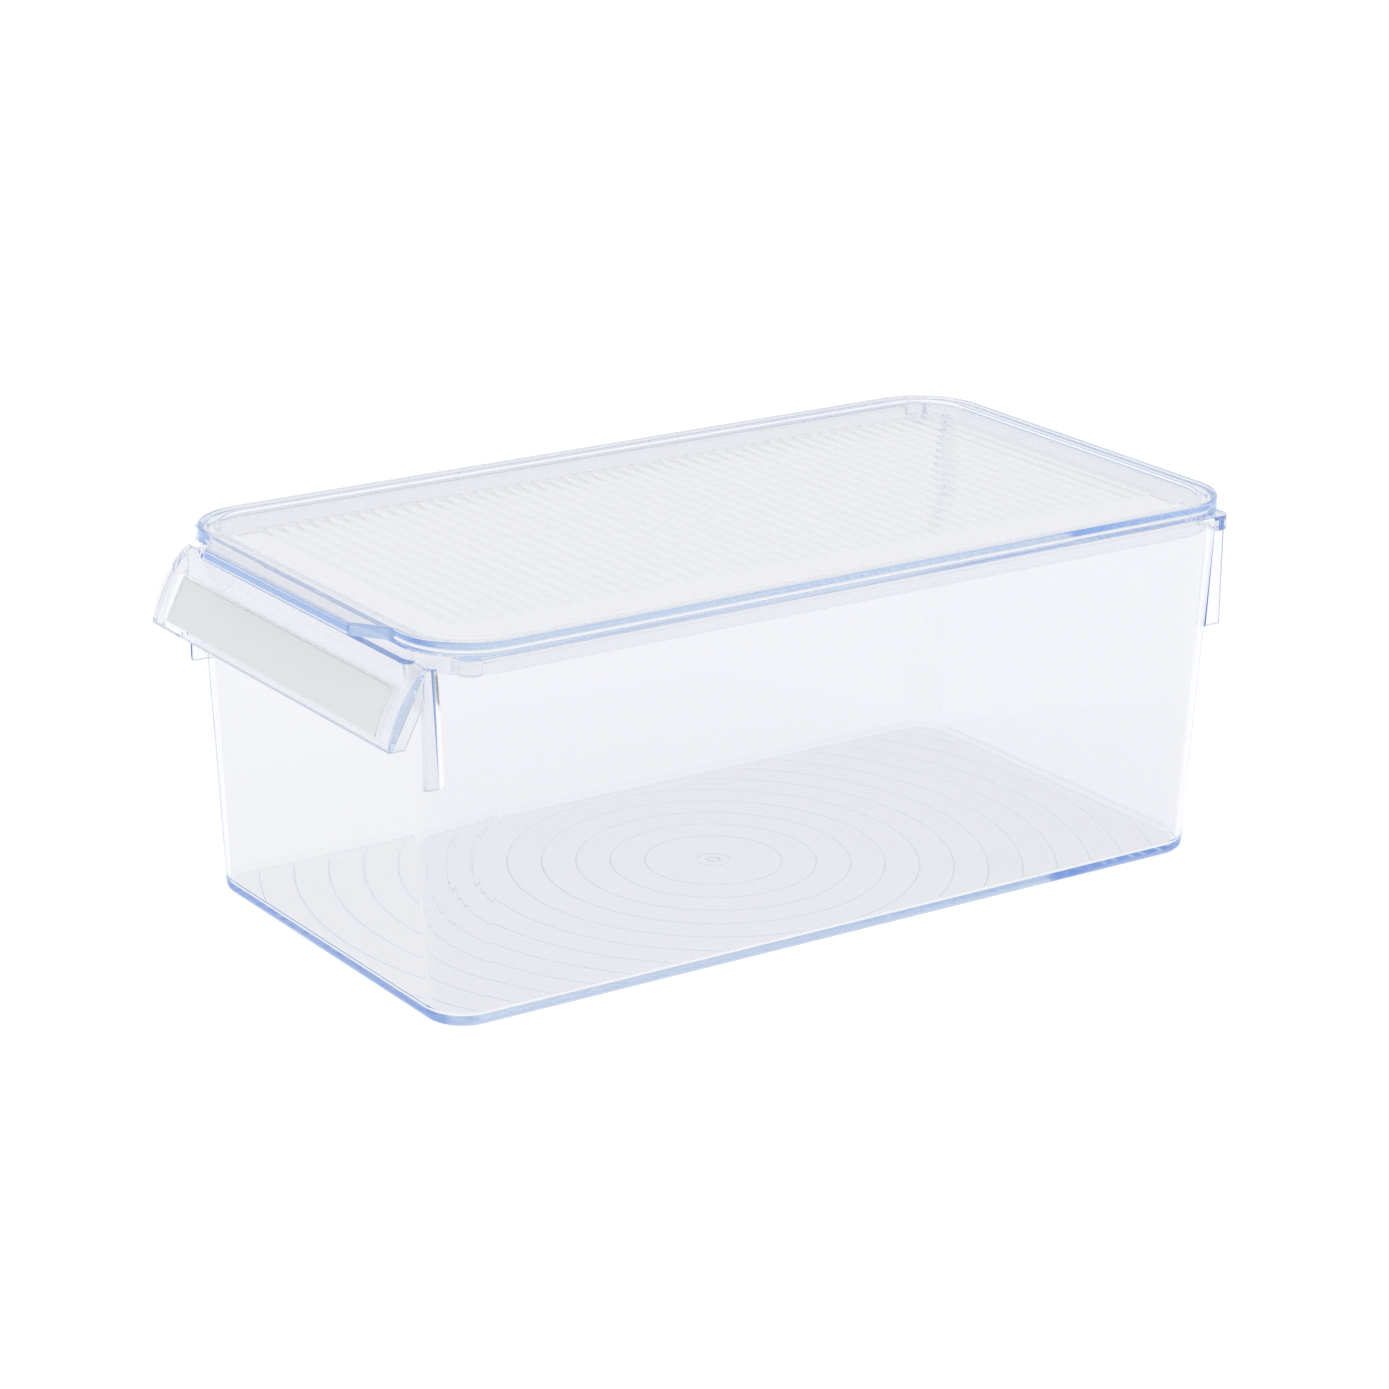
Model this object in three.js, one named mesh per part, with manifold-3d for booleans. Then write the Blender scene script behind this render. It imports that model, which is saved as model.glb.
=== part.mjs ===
// A clear fridge bin: a drafted tub with a pull handle at the front, a lift-off lid and a label strip.
// Millimetres. +X is the width, +Y runs to the back, +Z is up; the handle faces -Y.
// The origin is the centre of the tub's underside.
import * as THREE from "three";
import { mergeVertices } from "three/addons/utils/BufferGeometryUtils.js";
import Module from "manifold-3d";

// ---- driving dimensions ----
const WALL = 2.2; // moulded wall
const FLOOR = 3; // thickness of the tub's floor
const GAP = 0.3; // air between pieces that rest on each other
const BASE = { x: 74.1, y: 143.8, r: 13 }; // half sizes and corner radius of the underside
const TOP = { x: 82.5, y: 150, r: 22.5 }; // the same at the rim, and the lid's own outline
const RIM_TOP = 117.6; // height of the face the lid rests on
const BASE_ROUND = 2.6; // rounded edge round the underside

// Lips along the long sides, under the lid's edges, each with a thicker ear at both ends.
const LIP = { x: 84.2, y: 143, r: 4.5, thick: 1.4, ear: 5, earY: 136.5, earX: 76 };
// Upright fins off the rounded corners, out to the plane of the end wall's upper edge.
const FIN = { inner: 70.8, outer: 73, face: 149.95, floor: 76.5, top: 113.2 };

// The handle's outer face is an arc in the (y, z) plane and its inner face is flat.
const HANDLE = {
  cy: -128.87, cz: 87.47, r: 33.77, half: 73.8, tip: 90.8, web: 2.2, webFoot: 5.8, webTop: 106.3,
};
const LABEL = { half: 65, y0: -162, z0: 93.9, y1: -155.4, z1: 107, thick: 0.5, margin: 0.7 };
const PLATE = 3; // from the label's face to the handle's inner face

const LID = { top: 121.8, round: 1.2, rimWide: 6.8, panelDrop: 1.1, thick: WALL };
const PLUG = { clear: 1, depth: 6.4, thick: 1.8 }; // skirt that drops inside the tub
const TAB = { root: 56, tip: 44.5, out: 8.6, r: 2 }; // finger tab on the lid's front edge
const RIBS = { pitch: 5.47, half: 61, high: 0.15, wide: 3.4, reach: 134 };
const RINGS = { pitch: 11.2, first: 2, last: 13, wide: 1, deep: 0.25 };

// ---- helpers ----
const wasm = await Module();
wasm.setup();

function solid(geometry) {
  const g = geometry.index ? geometry.toNonIndexed() : geometry.clone();
  g.deleteAttribute("normal");
  g.deleteAttribute("uv");
  const merged = mergeVertices(g, 1e-4);
  return new wasm.Manifold(
    new wasm.Mesh({
      numProp: 3,
      vertProperties: merged.attributes.position.array,
      triVerts: new Uint32Array(merged.index.array),
    }),
  );
}

function geometryOf(manifold) {
  const mesh = manifold.getMesh();
  const g = new THREE.BufferGeometry();
  g.setAttribute("position", new THREE.BufferAttribute(new Float32Array(mesh.vertProperties), 3));
  g.setIndex(new THREE.BufferAttribute(new Uint32Array(mesh.triVerts), 1));
  const flat = g.toNonIndexed();
  flat.computeVertexNormals();
  return flat;
}

// Points of a rounded rectangle, counter-clockwise, with the same count for every size.
function roundedRect(hx, hy, r, steps = 8) {
  const points = [];
  for (let quarter = 0; quarter < 4; quarter++) {
    const cx = (hx - r) * (quarter === 0 || quarter === 3 ? 1 : -1);
    const cy = (hy - r) * (quarter < 2 ? 1 : -1);
    for (let i = 0; i <= steps; i++) {
      const a = ((quarter + i / steps) * Math.PI) / 2;
      points.push(new THREE.Vector2(cx + r * Math.cos(a), cy + r * Math.sin(a)));
    }
  }
  return points;
}

// A closed body through outlines of equal point count, each at its own height, lowest first.
function loft(sections) {
  const count = sections[0].points.length;
  const position = [];
  for (const { points, z } of sections) {
    for (const p of points) position.push(p.x, p.y, z);
  }
  const index = [];
  for (let s = 0; s + 1 < sections.length; s++) {
    for (let i = 0; i < count; i++) {
      const a = s * count + i;
      const b = s * count + ((i + 1) % count);
      index.push(a, b, b + count, a, b + count, a + count);
    }
  }
  const last = (sections.length - 1) * count;
  for (const [a, b, c] of THREE.ShapeUtils.triangulateShape(sections[0].points, [])) index.push(c, b, a);
  for (const [a, b, c] of THREE.ShapeUtils.triangulateShape(sections.at(-1).points, [])) {
    index.push(last + a, last + b, last + c);
  }
  const g = new THREE.BufferGeometry();
  g.setAttribute("position", new THREE.Float32BufferAttribute(position, 3));
  g.setIndex(index);
  return solid(g);
}

// A straight-sided plate of the given outline between two heights.
function plate(points, low, high) {
  const g = new THREE.ExtrudeGeometry(new THREE.Shape(points), { depth: high - low, bevelEnabled: false });
  return solid(g.translate(0, 0, low));
}

// A profile drawn in the (y, z) plane, extruded across the width and centred on x = middle.
function across(points, half, middle = 0) {
  const g = new THREE.ExtrudeGeometry(new THREE.Shape(points), { depth: 2 * half, bevelEnabled: false });
  g.translate(0, 0, -half);
  g.applyMatrix4(new THREE.Matrix4().set(0, 0, 1, middle, 1, 0, 0, 0, 0, 1, 0, 0, 0, 0, 0, 1));
  return solid(g);
}

// ---- tub ----
// Outline of the drafted wall at a height, moved inwards by inset.
function wallOutline(z, inset = 0) {
  const t = z / RIM_TOP;
  const mix = (a, b) => a + (b - a) * t - inset;
  return roundedRect(mix(BASE.x, TOP.x), mix(BASE.y, TOP.y), mix(BASE.r, TOP.r));
}

function tubOuter() {
  const sections = [];
  const steps = 4;
  for (let i = 0; i <= steps; i++) {
    const a = ((i / steps) * Math.PI) / 2;
    const z = BASE_ROUND * (1 - Math.cos(a));
    sections.push({ points: wallOutline(z, BASE_ROUND * (1 - Math.sin(a))), z });
  }
  sections.push({ points: wallOutline(RIM_TOP), z: RIM_TOP });
  return loft(sections);
}

function tubInner() {
  const round = BASE_ROUND - 0.6;
  const sections = [];
  const steps = 3;
  for (let i = 0; i <= steps; i++) {
    const a = ((i / steps) * Math.PI) / 2;
    const z = FLOOR + round * (1 - Math.cos(a));
    sections.push({ points: wallOutline(z, WALL + round * (1 - Math.sin(a))), z });
  }
  const above = RIM_TOP + 1;
  sections.push({ points: wallOutline(above, WALL), z: above });
  return loft(sections);
}

function eachCorner(make) {
  return [[1, 1], [-1, 1], [-1, -1], [1, -1]].map(([side, end]) => make(side, end));
}

// An outline drawn for the back right corner, moved to the corner given by side and end.
function atCorner(points, side, end) {
  const placed = points.map(([x, y]) => new THREE.Vector2(side * x, end * y));
  return side * end > 0 ? placed : placed.reverse();
}

function fin(side, end) {
  const inside = BASE.y - TOP.r;
  const outline = [
    [FIN.inner, inside],
    [FIN.outer, inside],
    [FIN.outer, FIN.face - 0.6],
    [FIN.outer - 0.6, FIN.face],
    [FIN.inner + 0.6, FIN.face],
    [FIN.inner, FIN.face - 0.6],
  ];
  return plate(atCorner(outline, side, end), FIN.floor, FIN.top);
}

function ear(side, end) {
  const bend = LIP.r * 0.3;
  const outline = [
    [LIP.earX, LIP.earY],
    [LIP.x, LIP.earY],
    [LIP.x, LIP.y - LIP.r],
    [LIP.x - bend, LIP.y - bend],
    [LIP.x - LIP.r, LIP.y],
    [LIP.earX, LIP.y],
  ];
  return plate(atCorner(outline, side, end), RIM_TOP - LIP.ear, RIM_TOP);
}

function sideLips() {
  return plate(roundedRect(LIP.x, LIP.y, LIP.r, 3), RIM_TOP - LIP.thick, RIM_TOP);
}

// Points along the handle's outer arc, from one height to another, in (y, z).
function handleArc(fromZ, toZ, steps) {
  const angle = (z) => Math.PI - Math.asin((z - HANDLE.cz) / HANDLE.r);
  const points = [];
  for (let i = 0; i <= steps; i++) {
    const a = angle(fromZ) + ((angle(toZ) - angle(fromZ)) * i) / steps;
    points.push(new THREE.Vector2(HANDLE.cy + HANDLE.r * Math.cos(a), HANDLE.cz + HANDLE.r * Math.sin(a)));
  }
  return points;
}

// A point s along the label's face from its lower edge and depth inside it, in (y, z).
function behindLabel(s, depth) {
  const { y0, z0, y1, z1 } = LABEL;
  const along = new THREE.Vector2(y1 - y0, z1 - z0).normalize();
  return new THREE.Vector2(y0 + along.x * s + along.y * depth, z0 + along.y * s - along.x * depth);
}

// A flat strip of the handle's face: between two depths, reaching beyond the label by margin.
function labelStrip(from, to, margin, half) {
  const length = Math.hypot(LABEL.y1 - LABEL.y0, LABEL.z1 - LABEL.z0);
  const corners = [[-margin, to], [-margin, from], [length + margin, from], [length + margin, to]];
  return across(corners.map(([s, depth]) => behindLabel(s, depth)).reverse(), half);
}

// The curved plate with a web at each end, clear of the tub's wall and fins.
function handle() {
  const wallY = -(FIN.face + GAP);
  const arcTop = HANDLE.cz + Math.sqrt(HANDLE.r ** 2 - (wallY - HANDLE.cy) ** 2);
  const low = behindLabel(0, PLATE);
  const slope = (LABEL.z1 - LABEL.z0) / (LABEL.y1 - LABEL.y0);
  const plateProfile = [
    ...handleArc(arcTop, HANDLE.tip, 14),
    new THREE.Vector2(low.x + (HANDLE.tip - low.y) / slope, HANDLE.tip),
    new THREE.Vector2(wallY, low.y + (wallY - low.x) * slope),
  ];
  const web = [
    ...handleArc(arcTop - 2, HANDLE.tip, 9).map((p) => new THREE.Vector2(p.x + 1, p.y)),
    new THREE.Vector2(HANDLE.cy - HANDLE.r + HANDLE.webFoot, HANDLE.tip),
    new THREE.Vector2(wallY, HANDLE.webTop),
  ];
  const webHalf = HANDLE.web / 2;
  return across(plateProfile, HANDLE.half)
    .add(across(web, webHalf, HANDLE.half - webHalf))
    .add(across(web, webHalf, webHalf - HANDLE.half))
    .subtract(labelStrip(-4, LABEL.thick + GAP, LABEL.margin, LABEL.half + LABEL.margin));
}

// A circular groove of V section in the underside.
function ringGroove(radius) {
  const half = RINGS.wide / 2;
  const profile = [
    [radius - half, -0.2],
    [radius + half, -0.2],
    [radius, RINGS.deep],
    [radius - half, -0.2],
  ].map(([x, y]) => new THREE.Vector2(x, y));
  const g = new THREE.LatheGeometry(profile, 56);
  return solid(g.rotateX(Math.PI / 2));
}

function tub() {
  let body = tubOuter().add(sideLips());
  for (const part of [...eachCorner(fin), ...eachCorner(ear)]) body = body.add(part);
  body = body.subtract(tubInner());
  const keep = loft([
    { points: wallOutline(0, BASE_ROUND + 3), z: -1 },
    { points: wallOutline(0, BASE_ROUND + 3), z: 1 },
  ]);
  for (let n = RINGS.first; n <= RINGS.last; n++) {
    body = body.subtract(ringGroove(n * RINGS.pitch).intersect(keep));
  }
  return body;
}

// ---- lid ----
function lidOutline(inset) {
  return roundedRect(TOP.x - inset, TOP.y - inset, TOP.r - inset);
}

function lidSlab(bottom) {
  const sections = [{ points: lidOutline(0), z: bottom }];
  const steps = 3;
  for (let i = 0; i <= steps; i++) {
    const a = ((i / steps) * Math.PI) / 2;
    const z = LID.top - LID.round * (1 - Math.sin(a));
    sections.push({ points: lidOutline(LID.round * (1 - Math.cos(a))), z });
  }
  return loft(sections);
}

function fingerTab(bottom) {
  const front = -(TOP.y + TAB.out);
  const back = -(TOP.y - 4);
  const half = [
    [TAB.root + 4, back],
    [TAB.root, -TOP.y],
    [TAB.tip + TAB.r, front + TAB.r * 1.2],
    [TAB.tip - TAB.r * 0.6, front],
  ];
  const points = [...half, ...half.map(([x, y]) => [-x, y]).reverse()];
  const outline = points.map(([x, y]) => new THREE.Vector2(x, y)).reverse();
  return plate(outline, bottom, LID.top - 0.3);
}

function lid() {
  const bottom = RIM_TOP + GAP;
  const panelTop = LID.top - LID.panelDrop;
  const panelLow = panelTop - LID.thick;
  let body = lidSlab(bottom).add(fingerTab(bottom));
  const recess = lidOutline(LID.rimWide);
  body = body.subtract(plate(recess, panelTop, LID.top + 1));
  const plugInset = WALL + PLUG.clear;
  const plugLow = RIM_TOP - PLUG.depth;
  body = body.add(plate(lidOutline(plugInset), plugLow, bottom + 0.5));
  body = body.subtract(plate(lidOutline(plugInset + PLUG.thick), plugLow - 1, panelLow));
  const count = 2 * Math.floor(RIBS.reach / RIBS.pitch);
  for (let i = 0; i <= count; i++) {
    const y = (i - count / 2) * RIBS.pitch;
    const rib = [
      new THREE.Vector2(y + RIBS.wide / 2, panelTop - 0.2),
      new THREE.Vector2(y + RIBS.wide / 4, panelTop + RIBS.high),
      new THREE.Vector2(y - RIBS.wide / 4, panelTop + RIBS.high),
      new THREE.Vector2(y - RIBS.wide / 2, panelTop - 0.2),
    ];
    body = body.add(across(rib, RIBS.half));
  }
  return body;
}

// ---- label ----
function label() {
  return labelStrip(0, LABEL.thick, 0, LABEL.half);
}

// ---- assembly ----
const CLEAR_PLASTIC = new THREE.MeshStandardMaterial({
  color: 0xe6ebf6, roughness: 0.06, metalness: 0, transparent: true, opacity: 0.45,
});
const LABEL_CARD = new THREE.MeshStandardMaterial({ color: 0xdde1df, roughness: 0.7, metalness: 0 });

const bin = new THREE.Group();
function addPiece(name, body, material) {
  const mesh = new THREE.Mesh(geometryOf(body), material);
  mesh.name = name;
  bin.add(mesh);
}
addPiece("tub", tub(), CLEAR_PLASTIC);
addPiece("handle", handle(), CLEAR_PLASTIC);
addPiece("lid", lid(), CLEAR_PLASTIC);
addPiece("label_strip", label(), LABEL_CARD);

export default bin;
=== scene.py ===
import math

import bmesh
import bpy
from mathutils import Matrix, Vector


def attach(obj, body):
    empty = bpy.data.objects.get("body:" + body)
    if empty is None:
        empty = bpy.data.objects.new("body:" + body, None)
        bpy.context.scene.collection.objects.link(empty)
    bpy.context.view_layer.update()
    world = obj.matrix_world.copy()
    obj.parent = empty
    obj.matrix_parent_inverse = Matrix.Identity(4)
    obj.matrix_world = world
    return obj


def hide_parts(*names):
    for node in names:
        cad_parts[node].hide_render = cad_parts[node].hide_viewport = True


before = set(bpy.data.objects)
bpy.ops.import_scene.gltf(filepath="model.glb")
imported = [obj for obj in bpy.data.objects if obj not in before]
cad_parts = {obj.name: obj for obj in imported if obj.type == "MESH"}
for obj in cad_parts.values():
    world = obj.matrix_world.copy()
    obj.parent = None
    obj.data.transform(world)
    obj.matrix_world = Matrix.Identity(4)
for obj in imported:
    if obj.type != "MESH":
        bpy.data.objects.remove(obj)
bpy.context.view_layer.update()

MM = 0.001

# ---- sizes in millimetres ----
# They are the CAD's, with some outer faces up to 0.05 mm further in, and with lower, softer ribs and rings.
WALL = 2.2
FLOOR = 3.0
GAP = 0.3  # air between pieces that rest on each other
PAST = 1.0  # how far a cutter runs past what it cuts
EDGE, SOFT_EDGE = 0.4, 0.5  # radii of the moulded edges
BASE = (74.1, 143.8, 13.0)  # half sizes and corner radius of the underside
TOP = (82.5, 150.0, 22.5)  # the same at the rim, and the lid's own outline
RIM_TOP = 117.6
BASE_ROUND, FLOOR_ROUND = 2.6, 2.0

# Lips under the lid's long edges, each with a thicker ear at both ends.
LIP_X, LIP_Y, LIP_R, LIP_THICK, LIP_EDGE = 84.15, 142.95, 4.5, 1.4, 0.3
EAR_HIGH, EAR_X, EAR_Y, EAR_ROUND = 5.0, 76.0, 136.5, 1.5
# Upright fins at the corners, below the rim.
FIN_IN, FIN_OUT, FIN_FACE, FIN_FLOOR, FIN_TOP, FIN_ROUND = 70.85, 72.95, 149.9, 76.55, 113.15, 0.7

# The handle's outer face is an arc in the (y, z) plane and its inner face is flat.
HANDLE_Y, HANDLE_Z, HANDLE_R, HANDLE_HALF, HANDLE_TIP = -128.87, 87.47, 33.74, 73.8, 90.85
WEB, WEB_FOOT, WEB_TOP, WEB_BEHIND, WEB_BELOW = 2.2, 5.8, 106.3, 1, 2
PLATE = 3.0  # from the label's face to the handle's inner face
LABEL_LOW, LABEL_HIGH = (-162.0, 93.9), (-155.4, 107.0)  # (y, z) of the label's long edges
LABEL_HALF, LABEL_THICK, LABEL_MARGIN, LABEL_EDGE = 65.0, 0.5, 0.7, 0.1
LABEL_SUNK = 0.05  # from the handle's surface line to the strip's face
RECESS_OUT = 4  # how far the recess's cutter stands out of the handle

LID_TOP, RIM_WIDE, PANEL_DROP = 121.8, 6.8, 1.1
LID_LOW_EDGE, LID_TOP_EDGE, PANEL_EDGE = 0.35, 0.9, 0.6
PLUG_CLEAR, PLUG_DEPTH, PLUG_THICK = 1.0, 6.4, 1.8  # the skirt that drops inside the tub
TAB_ROOT, TAB_TIP, TAB_OUT, TAB_ROOT_ROUND, TAB_TIP_ROUND = 56.0, 44.5, 8.55, 6, 2.6

# Ribs across the lid's panel: RIB_END high at their ends, full height RIB_RISE further in, and rooted in it.
RIB_PITCH, RIB_WIDE, RIB_HIGH, RIB_HALF, RIB_REACH = 5.47, 5.2, 0.07, 61.5, 134.0
RIB_END, RIB_RISE, RIB_ROOT = 0.005, 3, 0.3
# Rings in the tub's underside, numbered by their radius in pitches, and the marks in its middle.
RING_PITCH, RING_DEEP, RING_HALF, RING_FIRST, RING_LAST = 11.2, 0.06, 0.2, 2, 13
RING_MARGIN = BASE_ROUND + 3  # from the underside's outline to the ends of the rings
MIDDLE_MARKS = ((2.0, 0.6, 0.25), (5.4, 0.3, 0.04))  # radius, half width and depth


# ---- mesh helpers ----
def quarter_turn(steps):
    """Angles from 0 to a right angle, in equal steps."""
    return [i / steps * math.pi / 2 for i in range(steps + 1)]


def foot_round(radius, steps):
    """(inwards, upwards) steps round a lower edge, from the flat face to the wall."""
    return [(radius * (1 - math.sin(a)), radius * (1 - math.cos(a))) for a in quarter_turn(steps)]


def head_round(radius, steps):
    """(inwards, downwards) steps round an upper edge, from the wall to the flat face."""
    return [(radius * (1 - math.cos(a)), radius * (1 - math.sin(a))) for a in quarter_turn(steps)]


def wave(steps):
    """One smooth wave from -0.5 to 0.5 across, 0 at its ends and 1 in the middle."""
    return [(k / steps - 0.5, 0.5 - 0.5 * math.cos(2 * math.pi * k / steps)) for k in range(steps + 1)]


def rounded_rect(hx, hy, r, steps=14):
    points = []
    for quarter in range(4):
        cx = (hx - r) * (1 if quarter in (0, 3) else -1)
        cy = (hy - r) * (1 if quarter < 2 else -1)
        for i in range(steps + 1):
            a = (quarter + i / steps) * math.pi / 2
            points.append((cx + r * math.cos(a), cy + r * math.sin(a)))
    return points


def fillet(points, radii, steps):
    """The polygon with each corner rounded to its own radius."""
    out = []
    for i, (p, r) in enumerate(zip(points, radii)):
        here = Vector(p)
        before = Vector(points[i - 1]) - here
        after = Vector(points[(i + 1) % len(points)]) - here
        half = before.angle(after) / 2
        if r <= 0:
            out.append(tuple(here))
            continue
        reach = r / math.tan(half)
        a = here + before.normalized() * reach
        b = here + after.normalized() * reach
        centre = here + (before.normalized() + after.normalized()).normalized() * (r / math.sin(half))
        for k in range(steps + 1):
            v = (a - centre).lerp(b - centre, k / steps)
            out.append(tuple(centre + v.normalized() * r))
    return out


def inset(points, d):
    """The polygon moved inwards by d, corner by corner, held back where a corner is very sharp."""
    n = len(points)
    area = sum(points[i - 1][0] * points[i][1] - points[i][0] * points[i - 1][1] for i in range(n))
    sign = 1 if area > 0 else -1
    sharpest = 0.35
    out = []
    for i in range(n):
        a = (Vector(points[i]) - Vector(points[i - 1])).normalized()
        b = (Vector(points[(i + 1) % n]) - Vector(points[i])).normalized()
        normal = Vector((-(a.y + b.y), a.x + b.x)) * sign
        normal.normalize()
        cosine = max(sharpest, abs(Vector((-a.y, a.x)).dot(normal)))
        out.append(tuple(Vector(points[i]) + normal * (d / cosine)))
    return out


def new_object(name, bm):
    bmesh.ops.recalc_face_normals(bm, faces=bm.faces)
    mesh = bpy.data.meshes.new(name)
    bm.to_mesh(mesh)
    bm.free()
    obj = bpy.data.objects.new(name, mesh)
    bpy.context.scene.collection.objects.link(obj)
    return obj


def join_rows(bm, near, far):
    """A closed band of faces between two rows of the same number of points."""
    for i in range(len(near)):
        j = (i + 1) % len(near)
        bm.faces.new((near[i], near[j], far[j], far[i]))


def loft(name, sections, place=None):
    """A closed body through (points, height) sections of one point count."""
    place = place or (lambda x, y, z: (x, y, z))
    bm = bmesh.new()
    rows = [
        [bm.verts.new([c * MM for c in place(x, y, z)]) for x, y in points] for points, z in sections
    ]
    for low, high in zip(rows, rows[1:]):
        join_rows(bm, low, high)
    bm.faces.new(list(reversed(rows[0])))
    bm.faces.new(rows[-1])
    return new_object(name, bm)


def rounded_plate(name, points, low, high, bottom, top, steps=4, place=None):
    """A plate of that outline whose lower and upper edges are rounded."""
    sections = []
    if bottom > 0:
        sections += [(inset(points, d), low + up) for d, up in foot_round(bottom, steps)[:-1]]
    sections += [(points, low + bottom), (points, high - top)]
    if top > 0:
        sections += [(inset(points, d), high - down) for d, down in head_round(top, steps)[1:]]
    return loft(name, sections, place)


def along_x(x, y, z):
    """Section points are (y, z) and the height runs along X."""
    return (z, x, y)


def turned(name, profile, steps):
    """A solid turned about the upright axis from a closed profile of (radius, z)."""
    bm = bmesh.new()
    rows = [
        [bm.verts.new((r * math.cos(a) * MM, r * math.sin(a) * MM, z * MM)) for r, z in profile]
        for a in (2 * math.pi * i / steps for i in range(steps))
    ]
    for i in range(steps):
        join_rows(bm, rows[i], rows[(i + 1) % steps])
    bmesh.ops.remove_doubles(bm, verts=bm.verts, dist=1e-7)
    return new_object(name, bm)


def combine(target, tools, operation):
    """The target joined with or cut by the tools, which are used up."""
    for tool in tools:
        mod = target.modifiers.new("cut", "BOOLEAN")
        mod.operation = operation
        mod.solver = "MANIFOLD"
        mod.object = tool
    depsgraph = bpy.context.evaluated_depsgraph_get()
    mesh = bpy.data.meshes.new_from_object(target.evaluated_get(depsgraph))
    target.modifiers.clear()
    target.data = mesh
    for tool in tools:
        bpy.data.objects.remove(tool)
    return target


def smooth(obj, angle=28):
    """Smooth shading that stays crisp at real edges and flat on the large faces."""
    obj.data.shade_smooth()
    obj.data.set_sharp_from_angle(angle=math.radians(angle))
    weighted = obj.modifiers.new("weighted", "WEIGHTED_NORMAL")
    weighted.keep_sharp = True
    weighted.weight = 100


# ---- camera, at the photograph's angle ----
CAMERA_YAW, CAMERA_PITCH, CAMERA_ROLL = (math.radians(a) for a in (55.831, 18.587, 0.519))
CAMERA_PLACE = (1.03980, -0.71314, 0.48260)  # metres
CAMERA_LENS, CAMERA_SENSOR = 107.105, 36


def camera_matrix():
    level = math.cos(CAMERA_PITCH)
    back = Vector((math.sin(CAMERA_YAW) * level, -math.cos(CAMERA_YAW) * level, math.sin(CAMERA_PITCH)))
    right = Vector((math.cos(CAMERA_YAW), math.sin(CAMERA_YAW), 0))
    up = back.cross(right)
    across = right * math.cos(CAMERA_ROLL) + up * math.sin(CAMERA_ROLL)
    upward = up * math.cos(CAMERA_ROLL) - right * math.sin(CAMERA_ROLL)
    matrix = Matrix((across, upward, back)).transposed().to_4x4()
    matrix.translation = Vector(CAMERA_PLACE)
    return matrix


camera = bpy.data.objects.new("camera", bpy.data.cameras.new("camera"))
bpy.context.scene.collection.objects.link(camera)
camera.data.lens = CAMERA_LENS
camera.data.sensor_width = CAMERA_SENSOR
camera.matrix_world = camera_matrix()
bpy.context.scene.camera = camera


# ---- tub ----
def wall_outline(z, inwards=0.0):
    """The drafted wall's outline at that height, moved inwards."""
    t = z / RIM_TOP
    return rounded_rect(*(a + (b - a) * t - inwards for a, b in zip(BASE, TOP)))


def tub_outer():
    turn_in, under_rim = 0.2, 0.1
    sections = [(wall_outline(up, d), up) for d, up in foot_round(BASE_ROUND, 8)]
    sections.append((wall_outline(RIM_TOP - EDGE), RIM_TOP - EDGE))
    sections.append((wall_outline(RIM_TOP, turn_in), RIM_TOP - under_rim))
    return loft("tub_outer", sections)


def tub_inner():
    foot = foot_round(FLOOR_ROUND, 6)
    sections = [(wall_outline(FLOOR + up, WALL + d), FLOOR + up) for d, up in foot]
    sections.append((wall_outline(RIM_TOP - SOFT_EDGE, WALL), RIM_TOP - SOFT_EDGE))
    mouth = head_round(SOFT_EDGE, 4)[1:]
    sections += [(wall_outline(RIM_TOP, WALL - d), RIM_TOP - down) for d, down in mouth]
    sections.append((wall_outline(RIM_TOP, WALL - SOFT_EDGE), RIM_TOP + PAST))
    return loft("tub_inner", sections)


CORNERS = [(1, 1), (-1, 1), (-1, -1), (1, -1)]


def at_corner(points, side, end):
    return [(side * x, end * y) for x, y in points]


def fin(side, end):
    inside = BASE[1] - TOP[2]
    points = [(FIN_IN, inside), (FIN_OUT, inside), (FIN_OUT, FIN_FACE), (FIN_IN, FIN_FACE)]
    points = at_corner(fillet(points, [0, 0, FIN_ROUND, FIN_ROUND], 6), side, end)
    return rounded_plate("fin", points, FIN_FLOOR, FIN_TOP, SOFT_EDGE, EDGE)


def ear(side, end):
    points = [(EAR_X, EAR_Y), (LIP_X, EAR_Y), (LIP_X, LIP_Y), (EAR_X, LIP_Y)]
    points = at_corner(fillet(points, [0, EAR_ROUND, LIP_R, 0], 10), side, end)
    return rounded_plate("ear", points, RIM_TOP - EAR_HIGH, RIM_TOP, SOFT_EDGE, EDGE)


def side_lips():
    points = rounded_rect(LIP_X, LIP_Y, LIP_R, 10)
    return rounded_plate("lips", points, RIM_TOP - LIP_THICK, RIM_TOP, LIP_EDGE, EDGE)


def handle_arc(from_z, to_z, steps):
    a0, a1 = (math.pi - math.asin((z - HANDLE_Z) / HANDLE_R) for z in (from_z, to_z))
    return [
        (HANDLE_Y + HANDLE_R * math.cos(a), HANDLE_Z + HANDLE_R * math.sin(a))
        for a in (a0 + (a1 - a0) * i / steps for i in range(steps + 1))
    ]


def behind_label(s, depth):
    """A point (y, z) s along the label's face from its lower edge and depth inside it."""
    low, high = Vector(LABEL_LOW), Vector(LABEL_HIGH)
    along = (high - low).normalized()
    return tuple(low + along * s + Vector((along.y, -along.x)) * depth)


def label_strip(name, start, stop, margin, half, edge):
    """A strip from one depth to another behind the label's face."""
    length = (Vector(LABEL_HIGH) - Vector(LABEL_LOW)).length
    corners = [(-margin, stop), (-margin, start), (length + margin, start), (length + margin, stop)]
    points = [behind_label(s, depth) for s, depth in corners]
    return rounded_plate(name, points, -half, half, edge, edge, place=along_x)


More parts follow.
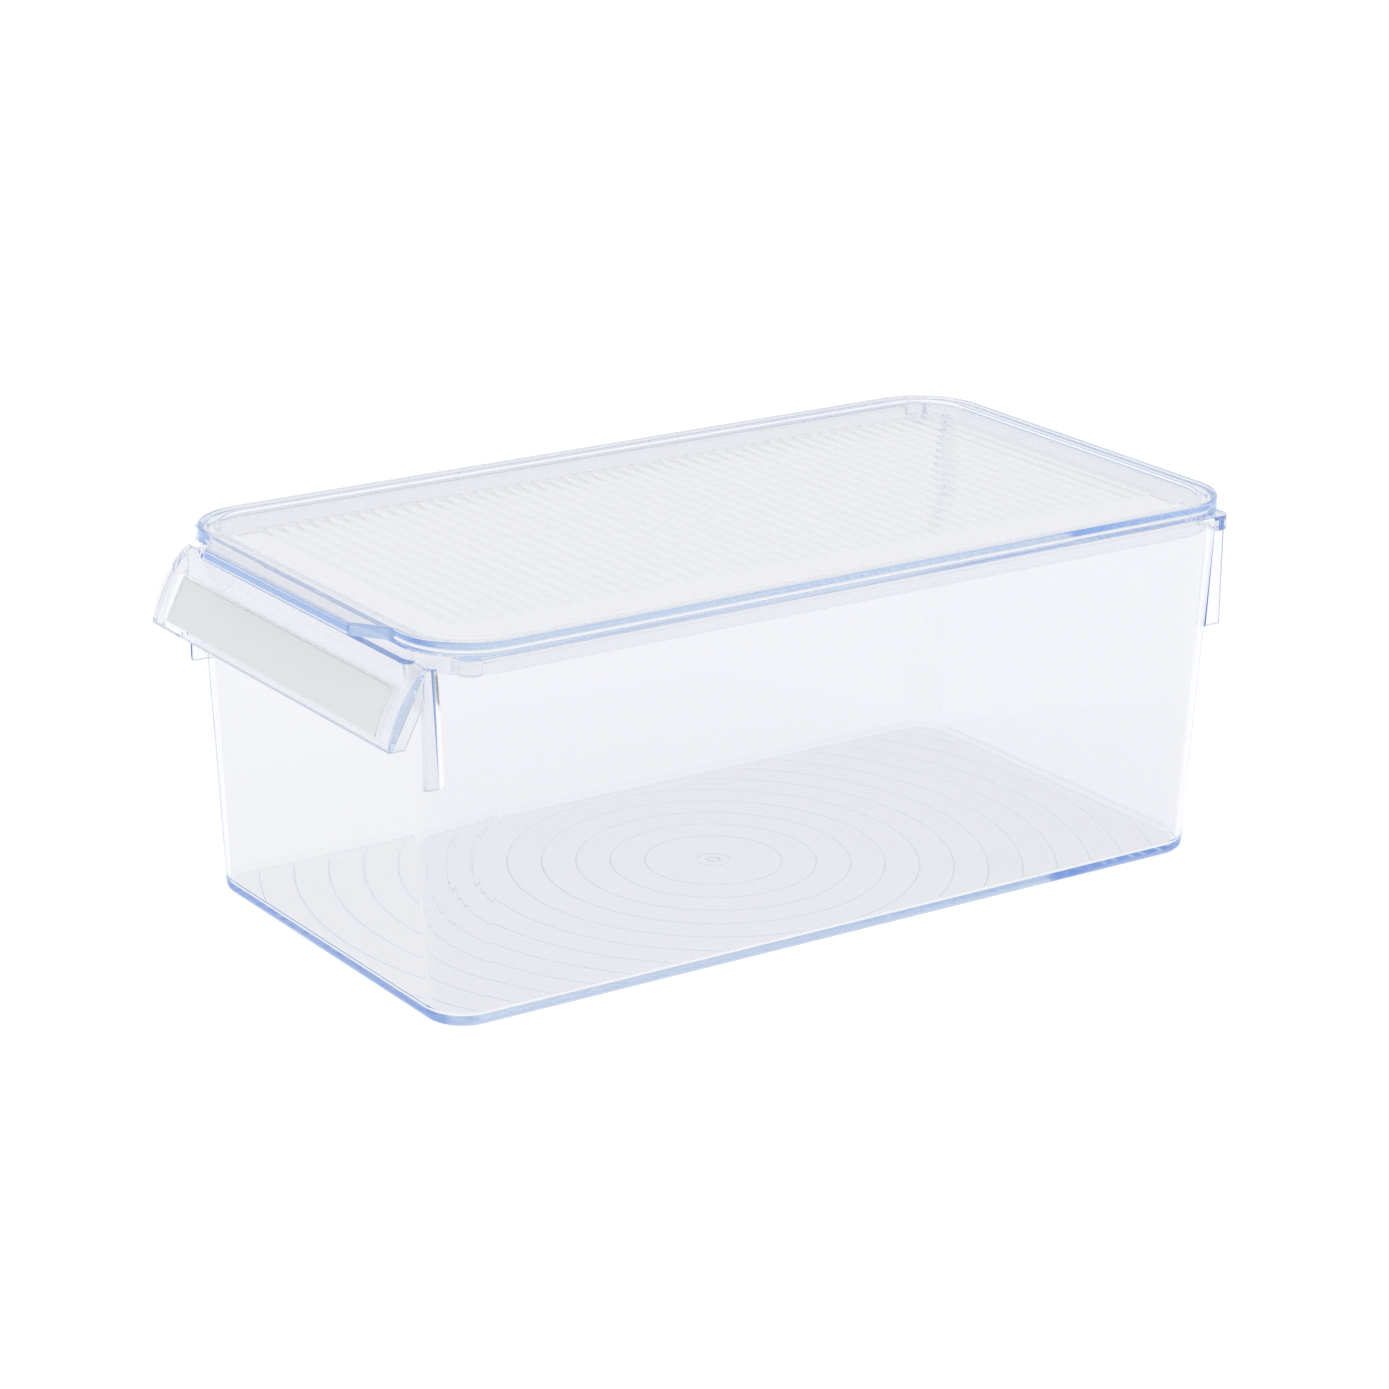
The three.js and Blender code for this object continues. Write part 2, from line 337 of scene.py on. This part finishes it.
def handle_parts():
    """The curved plate, rounded at its nose and heel, and the web at each of its ends."""
    wall_y = -(TOP[1] - WALL / 2)
    arc_top = HANDLE_Z + math.sqrt(HANDLE_R**2 - (wall_y - HANDLE_Y) ** 2)
    inner_y, inner_z = behind_label(0, PLATE)
    slope = (LABEL_HIGH[1] - LABEL_LOW[1]) / (LABEL_HIGH[0] - LABEL_LOW[0])
    tip_y = HANDLE_Y - HANDLE_R
    foot_y = inner_y + (HANDLE_TIP - inner_z) / slope
    nose = [(tip_y + 0.3, HANDLE_TIP + 0.15), (tip_y + 0.9, HANDLE_TIP)]
    heel = [(foot_y - 0.4, HANDLE_TIP), (foot_y + 0.05, HANDLE_TIP + 0.4)]
    inner_top = (wall_y, inner_z + (wall_y - inner_y) * slope)
    profile = handle_arc(arc_top, HANDLE_TIP + 0.7, 40) + nose + heel + [inner_top]
    web = [(y + WEB_BEHIND, z) for y, z in handle_arc(arc_top - WEB_BELOW, HANDLE_TIP, 24)]
    web += [(tip_y + WEB_FOOT, HANDLE_TIP), (wall_y, WEB_TOP)]
    half = HANDLE_HALF
    parts = [rounded_plate("plate", profile, -half, half, SOFT_EDGE, SOFT_EDGE, place=along_x)]
    for low, high in ((half - WEB, half), (-half, WEB - half)):
        parts.append(rounded_plate("web", web, low, high, EDGE, EDGE, place=along_x))
    return parts


def groove(name, radius, half, deep):
    """A cutter for a circular groove in the underside, with a smooth wave for its section."""
    below = 0.2
    profile = [(radius + half, -below), (radius - half, -below)]
    profile += [(radius + 2 * half * u, deep * v) for u, v in wave(8)]
    return turned(name, profile, 128)


def underside_marks():
    """A cutter for the rings, kept to the underside's flat part, and the marks in the middle."""
    numbers = range(RING_FIRST, RING_LAST + 1)
    rings = [groove("ring", n * RING_PITCH, RING_HALF, RING_DEEP) for n in numbers]
    marks = combine(rings[0], rings[1:], "UNION")
    flat = wall_outline(0, RING_MARGIN)
    combine(marks, [loft("flat", [(flat, -PAST), (flat, PAST)])], "INTERSECT")
    return combine(marks, [groove("middle", *mark) for mark in MIDDLE_MARKS], "UNION")


def build_tub():
    tub = tub_outer()
    corners = [make(x, y) for x, y in CORNERS for make in (fin, ear)]
    combine(tub, corners + [side_lips()] + handle_parts(), "UNION")
    half = LABEL_HALF + LABEL_MARGIN
    recess = label_strip("recess", -RECESS_OUT, LABEL_THICK + GAP, LABEL_MARGIN, half, 0)
    combine(tub, [tub_inner(), recess], "DIFFERENCE")
    combine(tub, [underside_marks()], "DIFFERENCE")
    tub.name = "tub_clear"
    return tub


# ---- lid ----
def lid_outline(inwards):
    return rounded_rect(TOP[0] - inwards, TOP[1] - inwards, TOP[2] - inwards, 20)


def lid_with_tab():
    x, y, r = TOP
    front = -(y + TAB_OUT)
    corners = [
        (x, y), (-x, y), (-x, -y), (-TAB_ROOT, -y),
        (-TAB_TIP, front), (TAB_TIP, front), (TAB_ROOT, -y), (x, -y),
    ]
    radii = [r, r, r, TAB_ROOT_ROUND, TAB_TIP_ROUND, TAB_TIP_ROUND, TAB_ROOT_ROUND, r]
    return fillet(corners, radii, 16)


def pocket(name, points, low, high, bottom, flare):
    """A cutter for a hollow open at the top, with a rounded foot and a rounded lip at height high."""
    steps = 4
    sections = [(inset(points, d), low + up) for d, up in foot_round(bottom, steps)]
    sections += [(inset(points, -d), high - down) for d, down in head_round(flare, steps)]
    sections.append((inset(points, -flare), high + PAST))
    return loft(name, sections)


def ribs(panel_top):
    """Low, wide waves across the panel, which die out at both ends."""
    full = RIB_HALF - RIB_RISE
    stations = ((-RIB_HALF, RIB_END), (-full, RIB_HIGH), (full, RIB_HIGH), (RIB_HALF, RIB_END))
    count = int(RIB_REACH / RIB_PITCH)
    bm = bmesh.new()
    for i in range(-count, count + 1):
        rows = []
        for x, high in stations:
            section = [(-RIB_WIDE / 2, -RIB_ROOT)]
            section += [(RIB_WIDE * u, high * v) for u, v in wave(8)]
            section += [(RIB_WIDE / 2, -RIB_ROOT)]
            middle = i * RIB_PITCH
            places = [(x * MM, (middle + y) * MM, (panel_top + z) * MM) for y, z in section]
            rows.append([bm.verts.new(place) for place in places])
        for near, far in zip(rows, rows[1:]):
            join_rows(bm, near, far)
        bm.faces.new(rows[0])
        bm.faces.new(rows[-1])
    return new_object("ribs", bm)


def build_lid():
    bottom = RIM_TOP + GAP
    panel_top = LID_TOP - PANEL_DROP
    plug_in = WALL + PLUG_CLEAR
    plug_low = RIM_TOP - PLUG_DEPTH
    plug_top = bottom + 0.5
    lid = rounded_plate("lid_clear", lid_with_tab(), bottom, LID_TOP, LID_LOW_EDGE, LID_TOP_EDGE, 6)
    combine(lid, [rounded_plate("plug", lid_outline(plug_in), plug_low, plug_top, SOFT_EDGE, 0)], "UNION")
    hollow = lid_outline(plug_in + PLUG_THICK)
    inside = rounded_plate("inside", hollow, plug_low - PAST, panel_top - WALL, 0, PANEL_EDGE)
    recess = pocket("recess", lid_outline(RIM_WIDE), panel_top, LID_TOP, SOFT_EDGE, EDGE)
    combine(lid, [inside, recess], "DIFFERENCE")
    combine(lid, [ribs(panel_top)], "UNION")
    return lid


def build_label():
    return label_strip("label", LABEL_SUNK, LABEL_THICK, 0, LABEL_HALF, LABEL_EDGE)


# ---- material helpers ----
def new_material(name):
    material = bpy.data.materials.new(name)
    material.use_nodes = True
    tree = material.node_tree
    return material, tree, tree.nodes["Principled BSDF"]


def object_place(tree):
    return tree.nodes.new("ShaderNodeTexCoord").outputs["Object"]


def math_node(tree, operation, *values):
    """The operation on numbers and sockets."""
    node = tree.nodes.new("ShaderNodeMath")
    node.operation = operation
    for socket, value in zip(node.inputs, values):
        if isinstance(value, (int, float)):
            socket.default_value = value
        else:
            tree.links.new(value, socket)
    return node.outputs[0]


def product(tree, first, *others):
    for value in others:
        first = math_node(tree, "MULTIPLY", first, value)
    return first


def within(tree, value, limit, soft):
    """1 inside plus or minus limit, falling to 0 at the limit over a width of soft."""
    node = tree.nodes.new("ShaderNodeMapRange")
    node.inputs["From Min"].default_value = limit
    node.inputs["From Max"].default_value = limit - soft
    tree.links.new(math_node(tree, "ABSOLUTE", value), node.inputs["Value"])
    return node.outputs["Result"]


def noise(tree, place, scale, detail):
    node = tree.nodes.new("ShaderNodeTexNoise")
    node.inputs["Scale"].default_value = scale
    node.inputs["Detail"].default_value = detail
    tree.links.new(place, node.inputs["Vector"])
    return node.outputs["Fac"]


def mixed_colour(tree, amount, low, high):
    """The colour from low, where the amount is 0, to high, where it is 1."""
    node = tree.nodes.new("ShaderNodeMix")
    node.data_type = "RGBA"
    node.inputs[6].default_value = low
    node.inputs[7].default_value = high
    tree.links.new(amount, node.inputs[0])
    return node.outputs[2]


def add_bump(tree, shader, height, strength, distance):
    node = tree.nodes.new("ShaderNodeBump")
    node.inputs["Strength"].default_value = strength
    node.inputs["Distance"].default_value = distance
    tree.links.new(height, node.inputs["Height"])
    tree.links.new(node.outputs["Normal"], shader.inputs["Normal"])


# ---- materials ----
# The second tint is painted shade: a darker blue laid on the rib crests and in the rings, standing in for
# the lines their refraction makes.
PLASTIC_TINT, PAINTED_SHADE_TINT = (0.916, 0.918, 0.938, 1), (0.76, 0.785, 0.84, 1)
PLASTIC_IOR = 1.52
GLOSS_LOW, GLOSS_HIGH, RIB_RING_ROUGHNESS = 0.012, 0.04, 0.05
RIB_SHADE_AND_DULLNESS = 0.55  # how strong the ribs' painted shade and dullness is beside the rings'
RING_SHADE_HALF = 0.045  # half the width of a ring's line of painted shade, in pitches
RIB_SHADE_FROM = LID_TOP - PANEL_DROP - 0.2  # the height above which the ribs' painted shade lies
RING_SHADE_TO = 0.6  # the height below which the rings' painted shade lies
SHADE_FADE = 1  # how softly the painted shade ends
ABSORBED, ABSORB_DENSITY = (0.0, 0.45, 0.99, 1), 2.0
CARD_DARK, CARD_LIGHT = (0.815, 0.845, 0.862, 1), (0.845, 0.875, 0.888, 1)


def rib_shade_mask(tree, x, y, z):
    """1 on the crests of the lid's ribs and 0 between them, where the ribs' painted shade lies."""
    phase = math_node(tree, "MULTIPLY", y, 2 * math.pi / (RIB_PITCH * MM))
    crest = math_node(tree, "MULTIPLY_ADD", math_node(tree, "COSINE", phase), 0.5, 0.5)
    across = within(tree, x, RIB_HALF * MM, RIB_RISE * MM)
    along = within(tree, y, RIB_REACH * MM, SHADE_FADE * MM)
    on_panel = math_node(tree, "GREATER_THAN", z, RIB_SHADE_FROM * MM)
    return product(tree, crest, across, along, on_panel)


def ring_shade_mask(tree, x, y, z):
    """1 in the rings of the tub's underside, where their painted shade lies."""
    squares = math_node(tree, "ADD", product(tree, x, x), product(tree, y, y))
    turns = math_node(tree, "DIVIDE", math_node(tree, "SQRT", squares), RING_PITCH * MM)
    away = math_node(tree, "SUBTRACT", turns, math_node(tree, "ROUND", turns))
    ring = within(tree, away, RING_SHADE_HALF, RING_SHADE_HALF)
    outside = math_node(tree, "GREATER_THAN", turns, RING_FIRST - 0.5)
    underneath = math_node(tree, "LESS_THAN", z, RING_SHADE_TO * MM)
    across = within(tree, x, (BASE[0] - RING_MARGIN) * MM, SHADE_FADE * MM)
    along = within(tree, y, (BASE[1] - RING_MARGIN) * MM, SHADE_FADE * MM)
    return product(tree, ring, outside, underneath, across, along)


def clear_plastic():
    """Clear plastic, blue in the thick, with painted shade that makes it faintly darker on the ribs and
    rings, and duller there.
    """
    material, tree, shader = new_material("clear_plastic")
    shader.inputs["Transmission Weight"].default_value = 1
    shader.inputs["IOR"].default_value = PLASTIC_IOR
    place = object_place(tree)
    split = tree.nodes.new("ShaderNodeSeparateXYZ")
    tree.links.new(place, split.inputs[0])
    rib = product(tree, rib_shade_mask(tree, *split.outputs), RIB_SHADE_AND_DULLNESS)
    mark = math_node(tree, "ADD", rib, ring_shade_mask(tree, *split.outputs))
    # Painted shade: the base colour turns to the darker tint on the rib crests and in the rings, for the
    # lines their refraction makes.
    tree.links.new(mixed_colour(tree, mark, PLASTIC_TINT, PAINTED_SHADE_TINT), shader.inputs["Base Color"])
    gloss = tree.nodes.new("ShaderNodeMapRange")
    gloss.inputs["To Min"].default_value = GLOSS_LOW
    gloss.inputs["To Max"].default_value = GLOSS_HIGH
    tree.links.new(noise(tree, place, scale=55, detail=4), gloss.inputs["Value"])
    roughness = math_node(tree, "MULTIPLY_ADD", mark, RIB_RING_ROUGHNESS, gloss.outputs["Result"])
    tree.links.new(roughness, shader.inputs["Roughness"])
    add_bump(tree, shader, noise(tree, place, scale=14, detail=1), strength=0.025, distance=0.0006)
    absorb = tree.nodes.new("ShaderNodeVolumeAbsorption")
    absorb.inputs["Color"].default_value = ABSORBED
    absorb.inputs["Density"].default_value = ABSORB_DENSITY
    tree.links.new(absorb.outputs["Volume"], tree.nodes["Material Output"].inputs["Volume"])
    return material


def label_card():
    material, tree, shader = new_material("label")
    shader.inputs["Roughness"].default_value = 0.5
    fibres = noise(tree, object_place(tree), scale=900, detail=3)
    tree.links.new(mixed_colour(tree, fibres, CARD_DARK, CARD_LIGHT), shader.inputs["Base Color"])
    add_bump(tree, shader, fibres, strength=0.1, distance=0.0001)
    return material


# ---- assembly ----
plastic = clear_plastic()
card = label_card()
for obj, material, body, nodes, slot in (
    (build_tub(), plastic, "tub_body", ("tub", "handle"), "clear_plastic"),
    (build_lid(), plastic, "lid_body", ("lid",), "clear_plastic"),
    (build_label(), card, "tub_body", ("label_strip",), "label"),
):
    obj.data.materials.clear()
    obj.data.materials.append(material)
    smooth(obj)
    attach(obj, body)
    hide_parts(*nodes)


# ---- studio ----
STAGE_HALF, STAGE_Z = 8, -0.0002  # metres
WHITE = (1, 1, 1, 1)
STAGE_GREY, STAGE_GLOW = (0.12, 0.12, 0.12, 1), 0.96
SKY_STRENGTH = 0.85
CLEAR_BOUNCES, DIFFUSE_BOUNCES = 256, 4


def floor_material():
    """A pale floor that glows by itself, so that it stays an even white round the bin."""
    material, _, shader = new_material("floor")
    shader.inputs["Base Color"].default_value = STAGE_GREY
    shader.inputs["Roughness"].default_value = 0.9
    shader.inputs["Specular IOR Level"].default_value = 0.1
    shader.inputs["Emission Color"].default_value = WHITE
    shader.inputs["Emission Strength"].default_value = STAGE_GLOW
    return material


grid = bmesh.new()
bmesh.ops.create_grid(grid, x_segments=1, y_segments=1, size=STAGE_HALF)
floor = new_object("floor", grid)
floor.data.materials.append(floor_material())
floor.location.z = STAGE_Z

world = bpy.data.worlds.new("studio")
world.use_nodes = True
background = world.node_tree.nodes["Background"]
background.inputs["Color"].default_value = WHITE
background.inputs["Strength"].default_value = SKY_STRENGTH

scene = bpy.context.scene
scene.world = world
scene.view_settings.view_transform = "Standard"
scene.cycles.max_bounces = CLEAR_BOUNCES
scene.cycles.transmission_bounces = CLEAR_BOUNCES
scene.cycles.glossy_bounces = CLEAR_BOUNCES
scene.cycles.diffuse_bounces = DIFFUSE_BOUNCES
scene.cycles.caustics_refractive = True
scene.cycles.caustics_reflective = True
